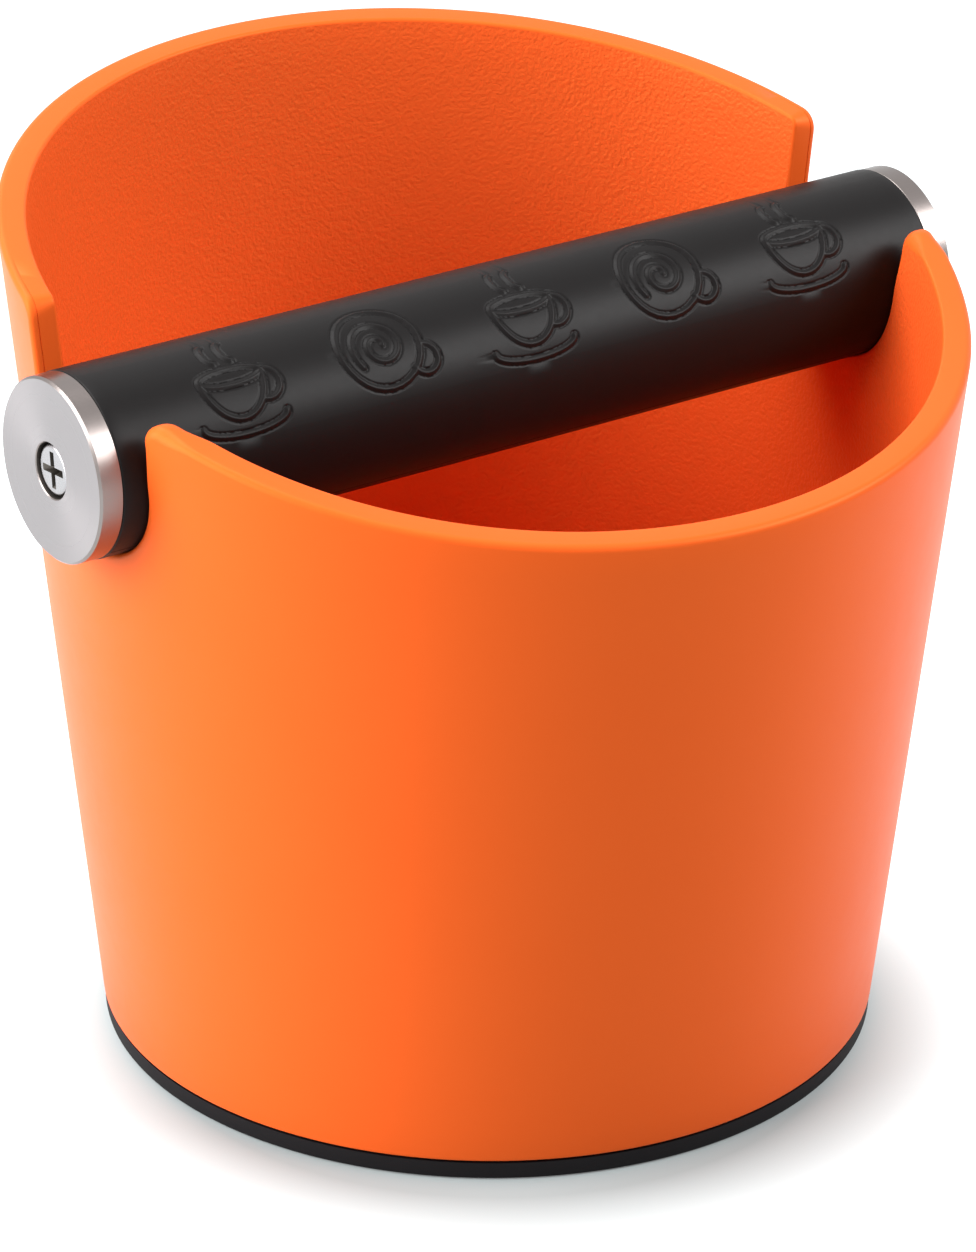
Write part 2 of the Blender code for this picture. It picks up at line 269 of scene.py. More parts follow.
def arc(centre, radius, start, end, steps):
    points = []
    for step in range(steps + 1):
        angle = start + (end - start) * step / steps
        points.append((centre[0] + radius * math.cos(angle), centre[1] + radius * math.sin(angle)))
    return points


def between(start, end, steps):
    """Points that lie evenly between two others, without either of them."""
    return [
        tuple(a + (b - a) * step / steps for a, b in zip(start, end)) for step in range(1, steps)
    ]


def turned(profile, segments):
    """Rings about Z for a profile of (radius, height) points that runs outwards, then upwards."""
    rings = []
    for radius, height in profile:
        angles = [2 * math.pi * step / segments for step in range(segments)]
        rings.append([(radius * math.cos(a), radius * math.sin(a), height) for a in angles])
    return rings


# The bin


def outer_radius(z):
    return BIN_BASE_RADIUS + math.tan(BIN_DRAFT) * (z - BIN_BOTTOM)


class RimLine:
    """A rim line seen along X, from the notch's edge to the far side of the bin, with a slight bow."""

    def __init__(self, edge_y, edge_z, far_z, bow):
        self.edge_y = edge_y
        self.edge_z = edge_z
        self.length = math.copysign(outer_radius(far_z), edge_y) - edge_y
        self.rise = far_z - edge_z
        self.bow = bow

    def height(self, y):
        share = (y - self.edge_y) / self.length
        return self.edge_z + self.rise * share + 4 * self.bow * share * (1 - share)

    def tilt(self, y):
        share = (y - self.edge_y) / self.length
        return math.atan((self.rise + 4 * self.bow * (1 - 2 * share)) / self.length)

    def corner_centre(self, y, radius):
        return y, self.height(y) - radius / math.cos(self.tilt(y))

    def height_at_angle(self, angle, inset):
        """Height where the line crosses the cone that lies inset within the bin's outer surface."""
        z = self.edge_z
        for _ in range(HEIGHT_ROUNDS):
            z = self.height(math.sin(angle) * (outer_radius(z) - inset))
        return z


def rim_lines():
    front = RimLine(-NOTCH_RADIUS, FRONT_PEAK, FRONT_PEAK - FRONT_LIP_DROP, -FRONT_SAG)
    back = RimLine(NOTCH_RADIUS, BACK_PEAK, BACK_PEAK + BACK_TOP_RISE, BACK_SWELL)
    return front, back


def notch_outline(front, back, front_corner, back_corner):
    """The notch seen along X, as (y, z) points from the front rim line to the back one."""
    radius = SLEEVE_RADIUS + HUG_GAP
    front_y = -radius - front_corner
    back_y = radius + back_corner
    front_centre = front.corner_centre(front_y, front_corner)
    back_centre = back.corner_centre(back_y, back_corner)
    front_start = QUARTER + front.tilt(front_y)
    back_end = QUARTER + back.tilt(back_y)
    front_arc = arc(front_centre, front_corner, front_start, 0, FRONT_CORNER_STEPS)
    bottom_arc = arc((0, BAR_HEIGHT), radius, math.pi, 2 * math.pi, BOTTOM_STEPS)
    back_arc = arc(back_centre, back_corner, math.pi, back_end, BACK_CORNER_STEPS)
    front_side = between(front_arc[-1], bottom_arc[0], FRONT_SIDE_STEPS)
    back_side = between(bottom_arc[-1], back_arc[0], BACK_SIDE_STEPS)
    return front_arc + front_side + bottom_arc + back_side + back_arc


def rim_edge(inset, front_corner, back_corner):
    """Half of the rim's edge, from the front centre round by +X to the back centre, as (angle, z)."""
    front, back = rim_lines()
    notch = []
    for y, z in notch_outline(front, back, front_corner, back_corner):
        notch.append((math.asin(y / (outer_radius(z) - inset)), z))
    edge = []
    for step in range(LINE_STEPS):
        angle = -QUARTER + (notch[0][0] + QUARTER) * step / LINE_STEPS
        edge.append((angle, front.height_at_angle(angle, inset)))
    edge += notch
    for step in range(1, LINE_STEPS + 1):
        angle = notch[-1][0] + (QUARTER - notch[-1][0]) * step / LINE_STEPS
        edge.append((angle, back.height_at_angle(angle, inset)))
    return edge


def foot_angles(edge):
    """Angles at the bin's foot under the points of half a rim edge, spread wider than the notch."""
    first = edge[LINE_STEPS][0] * FAN_SHARE
    last = edge[-LINE_STEPS - 1][0] * FAN_SHARE
    inner_steps = len(edge) - 1 - 2 * LINE_STEPS
    angles = [-QUARTER + (first + QUARTER) * step / LINE_STEPS for step in range(LINE_STEPS)]
    angles += [first + (last - first) * step / inner_steps for step in range(inner_steps)]
    angles += [last + (QUARTER - last) * step / LINE_STEPS for step in range(LINE_STEPS + 1)]
    return angles


def on_cone(angle, z, inset):
    radius = outer_radius(z) - inset
    return Vector((radius * math.cos(angle), radius * math.sin(angle), z))


def both_halves(half):
    """A full ring from the points of its +X half, which starts and ends on the plane of symmetry."""
    return half + [Vector((-point.x, point.y, point.z)) for point in reversed(half[1:-1])]


def into_wall(ring):
    """Unit directions that lie in the wall and point from the rim's edge into the material."""
    directions = []
    for step, point in enumerate(ring):
        along = ring[(step + 1) % len(ring)] - ring[step - 1]
        flat = math.hypot(point.x, point.y)
        outwards = Vector((point.x / flat, point.y / flat, -math.tan(BIN_DRAFT)))
        directions.append(along.cross(outwards).normalized())
    return directions


def edge_rounds(half_count, plain):
    """Radius of one of the rim's edges, point by point: it grows at the front corners, to a dome."""
    half = []
    for step in range(half_count):
        before = (step - LINE_STEPS) / NOSE_FADE_STEPS + 1
        after = (LINE_STEPS + FRONT_CORNER_STEPS - step) / FRONT_SIDE_STEPS + 1
        share = min(max(min(before, after), 0), 1)
        half.append(plain + (NOSE_ROUND - plain) * share * share * (3 - 2 * share))
    return half + half[-2:0:-1]


def rounded_over(ring, down, across, rounds, angle):
    """A ring of the round between the wall, at angle 0, and the rim's top, at a quarter turn."""
    low = 1 - math.sin(angle)
    deep = 1 - math.cos(angle)
    return [p + d * r * low + a * r * deep for p, d, a, r in zip(ring, down, across, rounds)]


def parting_depths(half_count):
    """Depth of the parting line round the rim: full on the back end faces, and fading out past them."""
    last = half_count - LINE_STEPS
    first = last - BACK_CORNER_STEPS - BACK_SIDE_STEPS
    half = []
    for step in range(half_count):
        beyond = max(first - step, step - last, 0)
        half.append(PARTING_DEPTH * max(0, 1 - beyond / PARTING_FADE_STEPS))
    return half + half[-2:0:-1]


def rim_rings(outer_edge, inner_edge):
    """Rings over the rim, from the outer surface, over both edges, to the inner surface."""
    outer = both_halves([on_cone(angle, z, 0) for angle, z in outer_edge])
    inner = both_halves([on_cone(angle, z, BIN_WALL) for angle, z in inner_edge])
    outer_down = into_wall(outer)
    inner_down = into_wall(inner)
    inwards = [(b - a).normalized() for a, b in zip(outer, inner)]
    outwards = [-direction for direction in inwards]
    angles = [QUARTER * step / ROUND_STEPS for step in range(ROUND_STEPS + 1)]
    outer_rounds = edge_rounds(len(outer_edge), RIM_OUTER_ROUND)
    inner_rounds = edge_rounds(len(outer_edge), RIM_INNER_ROUND)
    rings = [rounded_over(outer, outer_down, inwards, outer_rounds, angle) for angle in angles]
    depths = parting_depths(len(outer_edge))
    flat = BIN_WALL - RIM_OUTER_ROUND - RIM_INNER_ROUND
    for side, share in ((-1, 0), (-0.5, 1), (0.5, 1), (1, 0)):
        place = (PARTING_INSET + side * PARTING_HALF_WIDTH - RIM_OUTER_ROUND) / flat
        ring = []
        for step, point in enumerate(outer):
            near, far = outer_rounds[step], BIN_WALL - inner_rounds[step]
            inset = near + (far - near) * place
            ring.append(point + inwards[step] * inset + outer_down[step] * depths[step] * share)
        rings.append(ring)
    for angle in reversed(angles):
        rings.append(rounded_over(inner, inner_down, outwards, inner_rounds, angle))
    return rings


def level_ring(angles, radius, z):
    return both_halves([Vector((radius * math.cos(a), radius * math.sin(a), z)) for a in angles])


def wall_rings(foot, foot_z, top, inset):
    """Rings of the wall between its foot and the ring at its top, without either of them."""
    rings = []
    for row in range(1, WALL_ROWS):
        share = row / WALL_ROWS
        half = []
        for angle, point in zip(foot, top[: len(foot)]):
            turn = angle + (math.atan2(point.y, point.x) - angle) * share
            half.append(on_cone(turn, foot_z + (point.z - foot_z) * share, inset))
        rings.append(both_halves(half))
    return rings


def make_bin():
    outer_edge = rim_edge(0, FRONT_CORNER, BACK_CORNER)
    inner_edge = rim_edge(BIN_WALL, FRONT_INNER_CORNER, BACK_INNER_CORNER)
    foot = foot_angles(outer_edge)
    rim = rim_rings(outer_edge, inner_edge)
    edge_z = BIN_BOTTOM + BIN_LOWER_EDGE
    fillet_z = FLOOR_TOP + FLOOR_FILLET
    edge_centre = (outer_radius(edge_z) - BIN_LOWER_EDGE, edge_z)
    fillet_centre = (outer_radius(fillet_z) - BIN_WALL - FLOOR_FILLET, fillet_z)
    profile = [(RECESS_RADIUS, RECESS_CEILING), (RECESS_RADIUS, BIN_BOTTOM)]
    profile += arc(edge_centre, BIN_LOWER_EDGE, -QUARTER, 0, EDGE_STEPS)
    rings = [level_ring(foot, radius, z) for radius, z in profile]
    rings += wall_rings(foot, edge_z, rim[0], 0)
    rings += rim
    outside_rings = len(rings) - 1
    rings += reversed(wall_rings(foot, fillet_z, rim[-1], BIN_WALL))
    fillet = arc(fillet_centre, FLOOR_FILLET, 0, -QUARTER, FILLET_STEPS)
    rings += [level_ring(foot, radius, z) for radius, z in fillet]
    shell = add_piece("bin_shell", *skin(rings), "bin", "bin_body", "bin_plastic")
    count = len(rings[0])
    # The inside's faces take the darker plastic, whose colour is painted shade
    inside = np.zeros(len(shell.data.polygons))
    inside[outside_rings * count : (len(rings) - 1) * count] = 1
    inside[-1] = 1
    paint(shell, [bin_material("bin_outside", False), bin_material("bin_inside_painted_shade", True)], inside)


def make_base():
    """Rubber base with a rounded foot, and the spigot that holds it in the bin."""
    spigot = RECESS_RADIUS - CLEARANCE
    profile = arc((BASE_RADIUS - BASE_EDGE, BASE_EDGE), BASE_EDGE, -QUARTER, 0, EDGE_STEPS)
    profile += [
        (BASE_RADIUS, BASE_TOP),
        (spigot, BASE_TOP),
        (spigot, SPIGOT_TOP),
    ]
    rings = turned(profile, BASE_SEGMENTS)
    base = add_piece("base_pad", *skin(rings), "bin", "non_slip_base", "base_rubber")
    paint(base, [rubber_material("base_rubber_skin", BASE_RUBBER, 0.6, BASE_RUBBER_GLOSS)])


# The sleeve and its relief


def oval(centre, reach, start, end):
    """Stroke along an oval between two angles in degrees."""
    angles = np.radians(np.linspace(start, end, STROKE_STEPS + 1))
    across = centre[0] + reach[0] * np.cos(angles)
    return np.stack((across, centre[1] + reach[1] * np.sin(angles)), axis=1)


def spiral(centre, inner, outer, turns):
    shares = np.linspace(0, 1, 2 * STROKE_STEPS + 1)
    reach = inner + (outer - inner) * shares
    turn = 2 * math.pi * turns * shares
    return np.stack((centre[0] + reach * np.cos(turn), centre[1] + reach * np.sin(turn)), axis=1)


def cup_strokes():
    """A cup on its saucer with two wisps of steam, seen from the side, in millimetres."""
    return [
        oval((-0.8, 0.9), (4.3, 1.15), 0, 360),
        oval((-0.8, 0.9), (4.3, 5.5), 180, 360),
        oval((3.3, -0.9), (2.1, 2.1), -115, 75),
        oval((-0.8, -4.9), (5.9, 1.6), 180, 360),
        oval((-1.5, 4.9), (0.9, 1.8), 100, 260),
        oval((0.9, 4.9), (0.9, 1.8), 100, 260),
    ]


def swirl_strokes():
    """A cup seen from above, with a swirl in its drink, in millimetres."""
    middle = (-0.9, 0)
    return [
        oval(middle, (5.6, 5.6), 0, 360),
        spiral(middle, 0.6, 3.9, 1.6),
        oval((4.5, -2.9), (1.9, 1.9), -150, 88),
    ]


def stroke_distance(across, up, strokes):
    """How far each point lies from the nearest of the strokes."""
    nearest = np.full(across.shape, np.inf)
    for stroke in strokes:
        for (ax, ay), (bx, by) in zip(stroke[:-1], stroke[1:]):
            run, rise = bx - ax, by - ay
            share = ((across - ax) * run + (up - ay) * rise) / (run * run + rise * rise)
            share = np.clip(share, 0, 1)
            gap = np.hypot(across - ax - share * run, up - ay - share * rise)
            nearest = np.minimum(nearest, gap)
    return nearest


def ridge(distance, half_width, height):
    return height * np.cos(np.clip(distance / half_width, 0, 1) * QUARTER) ** 2


def motif_places():
    """Places of the motifs' middles along the sleeve, in millimetres."""
    return [(number - (MOTIF_COUNT - 1) / 2) * MOTIF_PITCH for number in range(MOTIF_COUNT)]


def relief(along, round_way):
    """Height of the sleeve's relief over a grid, all in millimetres. round_way is from its middle."""
    height = np.zeros((len(along), len(round_way)))
    up = -round_way[None, :]
    for number, middle in enumerate(motif_places()):
        rows = np.abs(along - middle) <= RELIEF_REACH
        across = (along[rows] - middle)[:, None]
        strokes = swirl_strokes() if number % 2 else cup_strokes()
        distance = stroke_distance(*np.broadcast_arrays(across, up), strokes)
        trough = np.clip((distance - RIDGE_HALF_WIDTH) / GROOVE_WIDTH, 0, 1)
        height[rows] += ridge(distance, RIDGE_HALF_WIDTH, RIDGE_HEIGHT)
        height[rows] -= GROOVE_DEPTH * np.sin(trough * math.pi) ** 2
    return height


def uneven_steps(start, end, stretches):
    """Places from start up to end, with a step of its own on each (low, high, step) stretch."""
    places = []
    low = start
    for fine_low, fine_high, step in [*stretches, (end, end, COARSE_STEP)]:
        coarse = math.ceil((fine_low - low) / COARSE_STEP)
        places.append(np.linspace(low, fine_low, coarse, endpoint=False))
        fine = math.ceil((fine_high - fine_low) / step)
        places.append(np.linspace(fine_low, fine_high, fine, endpoint=False))
        low = fine_high
    return np.concatenate(places)


def make_sleeve():
    radius = SLEEVE_RADIUS / MM
    half_round = math.pi * radius
    front_seam = (SEAM_ANGLE % (2 * math.pi) - RELIEF_ANGLE) * radius
    seams = (front_seam - half_round, front_seam)
    width = 2 * SEAM_HALF_WIDTH
    stretches = [(seam - width, seam + width, SEAM_STEP) for seam in seams]
    stretches.insert(1, (-RELIEF_REACH, RELIEF_REACH, FINE_STEP))
    round_way = uneven_steps(-half_round, half_round, stretches)

    body_end = (SLEEVE_HALF - SLEEVE_EDGE) / MM
    stretches = [
        (middle - RELIEF_REACH, middle + RELIEF_REACH, FINE_STEP) for middle in motif_places()
    ]
    along = uneven_steps(-body_end, body_end, stretches)

    height = relief(along, round_way)
    for seam in seams:
        height += ridge(np.abs(round_way - seam), SEAM_HALF_WIDTH, SEAM_HEIGHT)[None, :]
    shoulder = SLEEVE_RADIUS - SLEEVE_EDGE
    end = SLEEVE_HALF - SLEEVE_EDGE
    first = arc((shoulder, -end), SLEEVE_EDGE, -QUARTER, 0, EDGE_STEPS)[:-1]
    last = arc((shoulder, end), SLEEVE_EDGE, 0, QUARTER, EDGE_STEPS)
    first = [(SLEEVE_BORE, -SLEEVE_HALF), *first]
    last = [*last, (SLEEVE_BORE, SLEEVE_HALF)]

    flat = np.ones(len(round_way))
    reaches = [flat * reach for reach, _ in first]
    reaches += list(SLEEVE_RADIUS + height * MM)
    reaches += [flat * reach for reach, _ in last]
    places = [place for _, place in first] + list(along * MM) + [place for _, place in last]
    turn = RELIEF_ANGLE + round_way / radius
    rings = []
    for place, reach in zip(places, reaches):
        across = reach * np.cos(turn)
        up = BAR_HEIGHT + reach * np.sin(turn)
        rings.append(list(zip(flat * place, across, up)))
    shape = skin(rings, looped=True)
    sleeve = add_piece(
        "sleeve_with_relief", *shape, "knock_bar", "bar_sleeve", "sleeve_rubber", SHARP_RELIEF
    )
    rubber = rubber_material("sleeve_rubber_skin", SLEEVE_RUBBER, 0.42, SLEEVE_RUBBER_GLOSS)
    paint(sleeve, [rubber])


# Caps and screws


def on_bar(vertices, place, side):
    """Moves points from a frame with its +Z outwards to the bar's end on that side, +1 or -1."""
    return [(side * (place + z), y, BAR_HEIGHT - side * x) for x, y, z in vertices]


def make_cap(name, node, side):
    """End cap with a chamfered edge, and a counterbore that sinks the screw's head."""
    hole = SHANK_RADIUS + CLEARANCE
    counterbore = HEAD_RADIUS + CLEARANCE
    shelf = CAP_THICKNESS - HEAD_SINK - HEAD_HEIGHT - CLEARANCE
    back = SLEEVE_HALF + CAP_GAP - CAP_SEAT
    profile = [
        (hole, back),
        (CAP_RADIUS - CAP_BACK_EDGE, back),
        (CAP_RADIUS, back + CAP_BACK_EDGE),
        (CAP_RADIUS, CAP_THICKNESS - CAP_CHAMFER),
        (CAP_RADIUS - CAP_CHAMFER, CAP_THICKNESS),
        (counterbore + MOUTH_CHAMFER, CAP_THICKNESS),
        (counterbore, CAP_THICKNESS - MOUTH_CHAMFER),
        (counterbore, shelf),
        (hole, shelf),
    ]
    # The counterbore's wall, its shelf and the hole take the dark recess steel, whose colour is painted
    # shade
    finishes = (1, 1, 1, 1, 0, 1, 2, 2, 2)
    vertices, faces = skin(turned(profile, CAP_SEGMENTS), looped=True)
    placed = on_bar(vertices, CAP_SEAT, side)
    cap = add_piece(name, placed, faces, "knock_bar", node, "cap_steel", SHARP_METAL)
    materials = [turned_face_material(), polished_edge_material(), painted_shade_recess_material()]
    paint(cap, materials, np.repeat(finishes, CAP_SEGMENTS))


def cross_outline(reach, half_width, z):
    """A plus sign with four equal arms, at height z."""
    corners = ((reach, -half_width), (reach, half_width), (half_width, half_width))
    points = []
    for quarter in range(4):
        turn = CROSS_TURN + quarter * QUARTER
        for x, y in corners:
            across = x * math.cos(turn) - y * math.sin(turn)
            points.append((across, x * math.sin(turn) + y * math.cos(turn), z))
    return points


def cross_cutter():
    """Tapered cross that opens at the head's top face and narrows towards its floor."""
    half_width = CROSS_WIDTH / 2
    floor = HEAD_HEIGHT - CROSS_DEPTH
    rings = [
        cross_outline(CROSS_REACH * CROSS_FLOOR_SHARE, half_width * CROSS_FLOOR_SHARE, floor),
        cross_outline(CROSS_REACH, half_width, HEAD_HEIGHT),
        cross_outline(CROSS_REACH, half_width, HEAD_HEIGHT + CUT_OVERRUN),
    ]
    vertices, faces = skin(rings)
    mesh = bpy.data.meshes.new("cross_cutter")
    mesh.from_pydata(vertices, [], faces)
    # The cross's faces take the dark recess steel, whose colour is painted shade
    mesh.polygons.foreach_set("material_index", np.ones(len(faces), dtype=np.int32))
    cutter = bpy.data.objects.new("cross_cutter", mesh)
    bpy.context.scene.collection.objects.link(cutter)
    return cutter


def screw_mesh():
    """Pan-head screw with a cross recess, with its head's underside at z = 0."""
    head_centre = (HEAD_RADIUS - HEAD_EDGE, HEAD_HEIGHT - HEAD_EDGE)
    profile = [(SHANK_RADIUS, -SHANK_LENGTH), (SHANK_RADIUS, 0), (HEAD_RADIUS, 0)]
    profile += arc(head_centre, HEAD_EDGE, 0, QUARTER, ROUND_STEPS)
    vertices, faces = skin(turned(profile, SCREW_SEGMENTS))
    mesh = bpy.data.meshes.new("plain_screw")
    mesh.from_pydata(vertices, [], faces)
    mesh.materials.append(screw_material())
    mesh.materials.append(painted_shade_recess_material())
    blank = bpy.data.objects.new("plain_screw", mesh)
    bpy.context.scene.collection.objects.link(blank)
    cutter = cross_cutter()
    recess = blank.modifiers.new("cross_recess", "BOOLEAN")
    recess.operation = "DIFFERENCE"
    recess.solver = "EXACT"
    recess.object = cutter
    depsgraph = bpy.context.evaluated_depsgraph_get()
    carved = bpy.data.meshes.new_from_object(blank.evaluated_get(depsgraph))
    for helper in (blank, cutter):
        bpy.data.objects.remove(helper, do_unlink=True)
    return carved


def make_screw(name, node, side, carved):
    vertices = on_bar([v.co for v in carved.vertices], HEAD_FACE - HEAD_HEIGHT, side)
    faces = [tuple(face.vertices) for face in carved.polygons]
    screw = add_piece(name, vertices, faces, "knock_bar", node, "screw_steel", SHARP_METAL)
    paint(screw, list(carved.materials), [face.material_index for face in carved.polygons])


# Materials


def new_material(name):
    material = bpy.data.materials.new(name)
    material.use_nodes = True
    return material, material.node_tree, material.node_tree.nodes["Principled BSDF"]


def add_node(tree, kind, **values):
    """A node whose keyword values name its inputs, with underscores for blanks."""
    node = tree.nodes.new(kind)
    for name, value in values.items():
        node.inputs[name.replace("_", " ")].default_value = value
    return node


def millimetres(tree):
    """Object coordinates with the millimetre as their unit."""
    coordinates = tree.nodes.new("ShaderNodeTexCoord")
    mapping = add_node(tree, "ShaderNodeMapping", Scale=(1 / MM, 1 / MM, 1 / MM))
    tree.links.new(coordinates.outputs["Object"], mapping.inputs["Vector"])
    return mapping.outputs["Vector"]


def noise(tree, vector, scale, detail=2.0, roughness=0.5):
    node = add_node(tree, "ShaderNodeTexNoise", Scale=scale, Detail=detail, Roughness=roughness)
    tree.links.new(vector, node.inputs["Vector"])
    return node.outputs["Fac"]


def spread(tree, value, low, high, from_low=0.0, from_high=1.0):
    node = add_node(
        tree, "ShaderNodeMapRange", From_Min=from_low, From_Max=from_high, To_Min=low, To_Max=high
    )
    tree.links.new(value, node.inputs["Value"])
    return node.outputs["Result"]


def mixed(tree, share, first, second):
    node = tree.nodes.new("ShaderNodeMix")
    node.data_type = "RGBA"
    colors = [socket for socket in node.inputs if socket.type == "RGBA"]
    colors[0].default_value = (*first, 1)
    colors[1].default_value = (*second, 1)
    tree.links.new(share, node.inputs["Factor"])
    return [socket for socket in node.outputs if socket.type == "RGBA"][0]


def bump(tree, height, depth, after=None):
    node = add_node(tree, "ShaderNodeBump", Strength=1.0, Distance=depth)
    tree.links.new(height, node.inputs["Height"])
    if after:
        tree.links.new(after, node.inputs["Normal"])
    return node.outputs["Normal"]


def from_axis(tree, place):
    """Distance from the knock bar's axis, in millimetres."""
    centred = tree.nodes.new("ShaderNodeVectorMath")
    centred.operation = "SUBTRACT"
    centred.inputs[1].default_value = (0, 0, BAR_HEIGHT / MM)
    tree.links.new(place, centred.inputs[0])
    flat = tree.nodes.new("ShaderNodeVectorMath")
    flat.operation = "MULTIPLY"
    flat.inputs[1].default_value = (0, 1, 1)
    tree.links.new(centred.outputs[0], flat.inputs[0])
    length = tree.nodes.new("ShaderNodeVectorMath")
    length.operation = "LENGTH"
    tree.links.new(flat.outputs[0], length.inputs[0])
    return length.outputs["Value"]


def bin_material(name, grained_and_shaded):
    """Satin orange plastic. Its inside has a moulded grain, and a darker colour that is painted shade."""
    material, tree, shader = new_material(name)
    place = millimetres(tree)
    clouds = noise(tree, place, 0.05, 3.0)
    # The inside takes the darker colour, painted shade
    red, green, blue = PLASTIC_INSIDE_SHADED if grained_and_shaded else PLASTIC_OUTSIDE
    color = mixed(tree, clouds, (red, green, blue), (red, green * 1.07, blue * 1.15))
    tree.links.new(color, shader.inputs["Base Color"])
    tree.links.new(spread(tree, noise(tree, place, 0.4, 4.0), 0.38, 0.44), shader.inputs["Roughness"])
    shader.inputs["Specular IOR Level"].default_value = PLASTIC_GLOSS
    shader.inputs["Specular Tint"].default_value = PLASTIC_GLOSS_TINT
    peel = bump(tree, noise(tree, place, 1.8, 3.0), FINE_BUMP)
    if grained_and_shaded:
        peel = bump(tree, noise(tree, place, 2.0, 1.0), GRAIN_BUMP, peel)
    tree.links.new(peel, shader.inputs["Normal"])
    return material


def rubber_material(name, color, roughness, gloss):
    """Black rubber with the faint cloudiness and fine grain of a moulded part."""
    material, tree, shader = new_material(name)
    place = millimetres(tree)
    darker = tuple(channel * 0.85 for channel in color)
    clouds = noise(tree, place, 0.3, 4.0)
    tree.links.new(mixed(tree, clouds, darker, color), shader.inputs["Base Color"])
    rough = spread(tree, noise(tree, place, 1.1, 5.0), roughness - 0.04, roughness + 0.04)
    tree.links.new(rough, shader.inputs["Roughness"])
    shader.inputs["Specular IOR Level"].default_value = gloss
    grain = bump(tree, noise(tree, place, 5.0, 3.0), FINE_BUMP)
    tree.links.new(grain, shader.inputs["Normal"])
    return material


def metal(name, color, roughness):
    material, tree, shader = new_material(name)
    shader.inputs["Base Color"].default_value = (*color, 1)
    shader.inputs["Metallic"].default_value = 1.0
    shader.inputs["Roughness"].default_value = roughness
    return material, tree, shader


def turned_face_material():
    """Steel with the fine rings that a lathe leaves."""
    material, tree, shader = metal("cap_turned_face", TURNED_STEEL, 0.3)
    place = millimetres(tree)
    rings = tree.nodes.new("ShaderNodeTexNoise")
    rings.noise_dimensions = "1D"
    rings.inputs["Scale"].default_value = 6.0
    rings.inputs["Detail"].default_value = 4.0
    tree.links.new(from_axis(tree, place), rings.inputs["W"])
    tree.links.new(spread(tree, rings.outputs["Fac"], 0.24, 0.36), shader.inputs["Roughness"])
    tree.links.new(bump(tree, rings.outputs["Fac"], FINE_BUMP), shader.inputs["Normal"])
    shader.inputs["Anisotropic"].default_value = TURNED_ANISOTROPY
    tangent = tree.nodes.new("ShaderNodeTangent")
    tangent.direction_type = "RADIAL"
    tangent.axis = "X"
    tree.links.new(tangent.outputs["Tangent"], shader.inputs["Tangent"])
    return material


def polished_edge_material():
    material, tree, shader = metal("cap_polished_edge", POLISHED_STEEL, 0.3)
    place = millimetres(tree)
    rough = spread(tree, noise(tree, place, 2.5, 5.0), 0.26, 0.34)
    tree.links.new(rough, shader.inputs["Roughness"])
    return material


def painted_shade_recess_material():
    """Dull steel down in a recess. Its dark colour is painted shade."""
    material, tree, shader = metal("recess_painted_shade", RECESS_SHADE_STEEL, 0.5)
    place = millimetres(tree)
    rough = spread(tree, noise(tree, place, 3.0, 4.0), 0.4, 0.6)
    tree.links.new(rough, shader.inputs["Roughness"])
    return material


def screw_material():
    material, tree, shader = metal("screw_head", SCREW_STEEL, 0.25)
    place = millimetres(tree)
    rough = spread(tree, noise(tree, place, 3.0, 5.0), 0.2, 0.34)
    tree.links.new(rough, shader.inputs["Roughness"])
    return material


def core_material():
    material, tree, shader = metal("core_turned", CORE_STEEL, 0.35)
    place = millimetres(tree)
    rough = spread(tree, noise(tree, place, 1.5, 5.0), 0.28, 0.42)
    tree.links.new(rough, shader.inputs["Roughness"])
    return material


# Stage


def make_camera():
    data = bpy.data.cameras.new("camera")
    data.lens = CAMERA_LENS
    data.sensor_width = CAMERA_SENSOR
    data.clip_start = 10 * MM
    camera = bpy.data.objects.new("camera", data)
    bpy.context.scene.collection.objects.link(camera)
    flat = math.cos(CAMERA_ELEVATION)
    back = Vector(
        (
            math.sin(CAMERA_AZIMUTH) * flat,
            -math.cos(CAMERA_AZIMUTH) * flat,
            math.sin(CAMERA_ELEVATION),
        )
    )
    level_right = Vector((math.cos(CAMERA_AZIMUTH), math.sin(CAMERA_AZIMUTH), 0))
    level_up = back.cross(level_right)
    right = level_right * math.cos(CAMERA_ROLL) + level_up * math.sin(CAMERA_ROLL)
    up = back.cross(right)
    turn = Matrix((right, up, back)).transposed().to_4x4()
    camera.matrix_world = Matrix.Translation(CAMERA_TARGET + back * CAMERA_DISTANCE) @ turn
    bpy.context.scene.camera = camera


def sees_background(tree):
    """1 for a camera, glossy or transmission ray, which see the white background, and 0 for others."""
    path = tree.nodes.new("ShaderNodeLightPath")
    value = path.outputs["Is Camera Ray"]
    for kind in ("Is Glossy Ray", "Is Transmission Ray"):
        either = tree.nodes.new("ShaderNodeMath")
        either.operation = "MAXIMUM"
        tree.links.new(value, either.inputs[0])
        tree.links.new(path.outputs[kind], either.inputs[1])
        value = either.outputs[0]
    return value


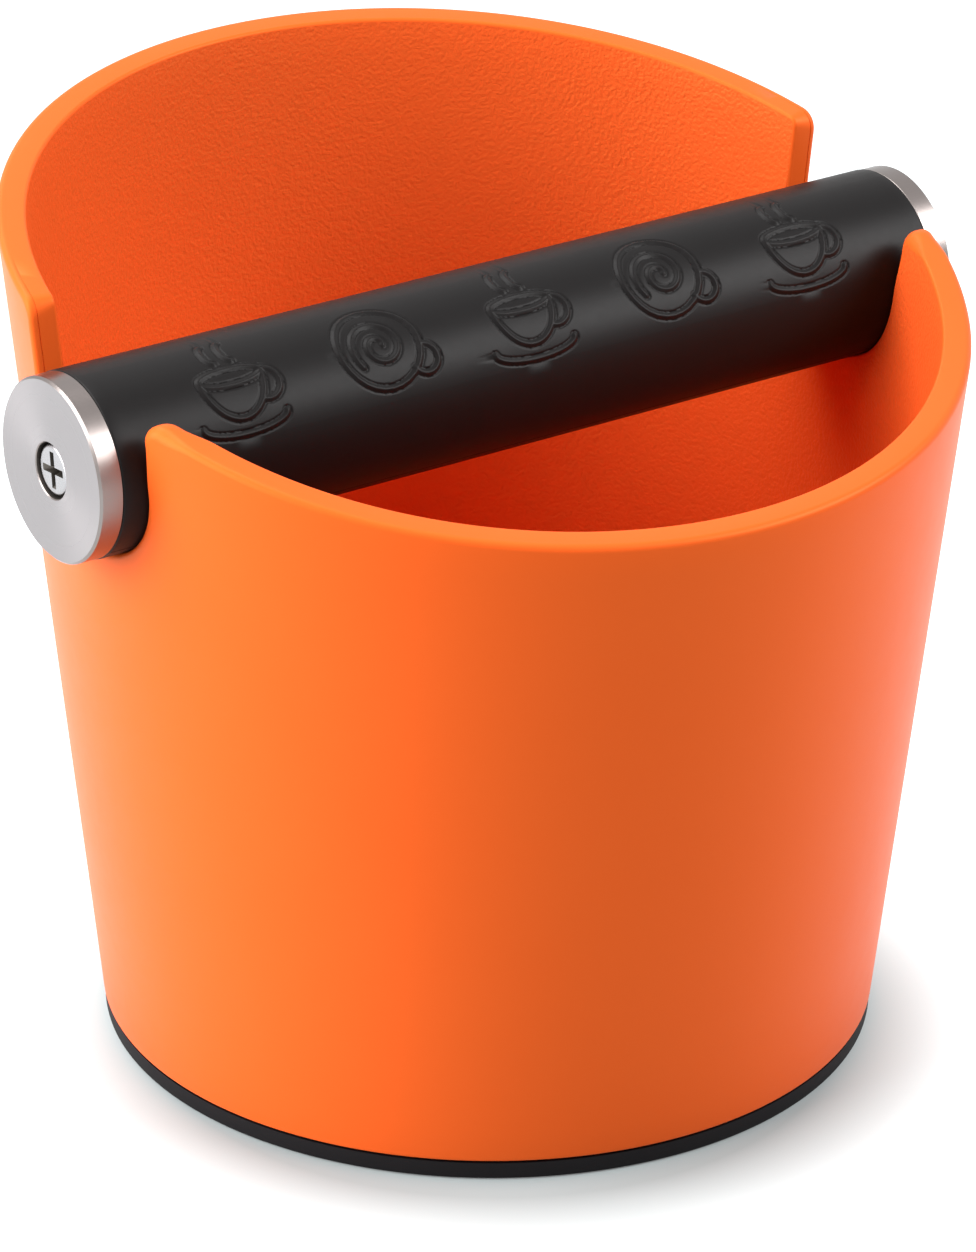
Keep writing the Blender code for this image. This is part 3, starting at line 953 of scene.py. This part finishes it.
def make_floor():
    size, low = FLOOR_HALF, -FLOOR_DROP
    mesh = bpy.data.meshes.new("floor")
    corners = [(-size, -size, low), (size, -size, low), (size, size, low), (-size, size, low)]
    mesh.from_pydata(corners, [], [(0, 1, 2, 3)])
    floor = bpy.data.objects.new("floor", mesh)
    bpy.context.scene.collection.objects.link(floor)
    material, tree, shader = new_material("floor_white")
    shader.inputs["Base Color"].default_value = (*FLOOR_COLOR, 1)
    shader.inputs["Roughness"].default_value = 1.0
    shader.inputs["Specular IOR Level"].default_value = 0.0
    shader.inputs["Emission Color"].default_value = (1, 1, 1, 1)
    coordinates = tree.nodes.new("ShaderNodeTexCoord")
    reach = tree.nodes.new("ShaderNodeVectorMath")
    reach.operation = "DISTANCE"
    reach.inputs[1].default_value = SHADE_CENTRE
    tree.links.new(coordinates.outputs["Object"], reach.inputs[0])
    # The glow that the camera and gloss see is low near SHADE_CENTRE: a painted shadow beside the object, on
    # top of its real shadow
    glow = spread(tree, reach.outputs["Value"], PAINTED_SHADOW_GLOW, FAR_GLOW, NEAR_REACH, FAR_REACH)
    shown = tree.nodes.new("ShaderNodeMath")
    shown.operation = "MULTIPLY"
    tree.links.new(sees_background(tree), shown.inputs[0])
    tree.links.new(glow, shown.inputs[1])
    tree.links.new(shown.outputs[0], shader.inputs["Emission Strength"])
    mesh.materials.append(material)


def make_world():
    world = bpy.data.worlds.new("studio")
    bpy.context.scene.world = world
    world.use_nodes = True
    tree = world.node_tree
    background = tree.nodes["Background"]
    strength = spread(tree, sees_background(tree), ROOM_FILL, 1.0)
    tree.links.new(strength, background.inputs["Strength"])
    background.inputs["Color"].default_value = (1, 1, 1, 1)


def make_lamp(name, bearing, elevation, distance, width, height, radiance):
    data = bpy.data.lights.new(name, "AREA")
    data.shape = "RECTANGLE"
    data.size = width
    data.size_y = height
    data.energy = radiance * math.pi * width * height
    lamp = bpy.data.objects.new(name, data)
    turn = math.radians(bearing)
    rise = math.radians(elevation)
    away = Vector((math.cos(turn) * math.cos(rise), math.sin(turn) * math.cos(rise), math.sin(rise)))
    lamp.location = LAMP_AIM + away * distance
    lamp.rotation_euler = (-away).to_track_quat("-Z", "Y").to_euler()
    lamp.visible_camera = False
    bpy.context.scene.collection.objects.link(lamp)


make_camera()
make_bin()
make_base()
make_sleeve()
carved_screw = screw_mesh()
for label, direction in (("left", -1), ("right", 1)):
    make_cap(label + "_cap_turned", label + "_end_cap", direction)
    make_screw(label + "_screw_carved", label + "_cap_screw", direction, carved_screw)
core_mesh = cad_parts["bar_core"].data
core_mesh.materials.clear()
core_mesh.materials.append(core_material())
make_floor()
make_world()
for lamp_values in LAMPS:
    make_lamp(*lamp_values)
bpy.context.scene.view_settings.view_transform = "Standard"
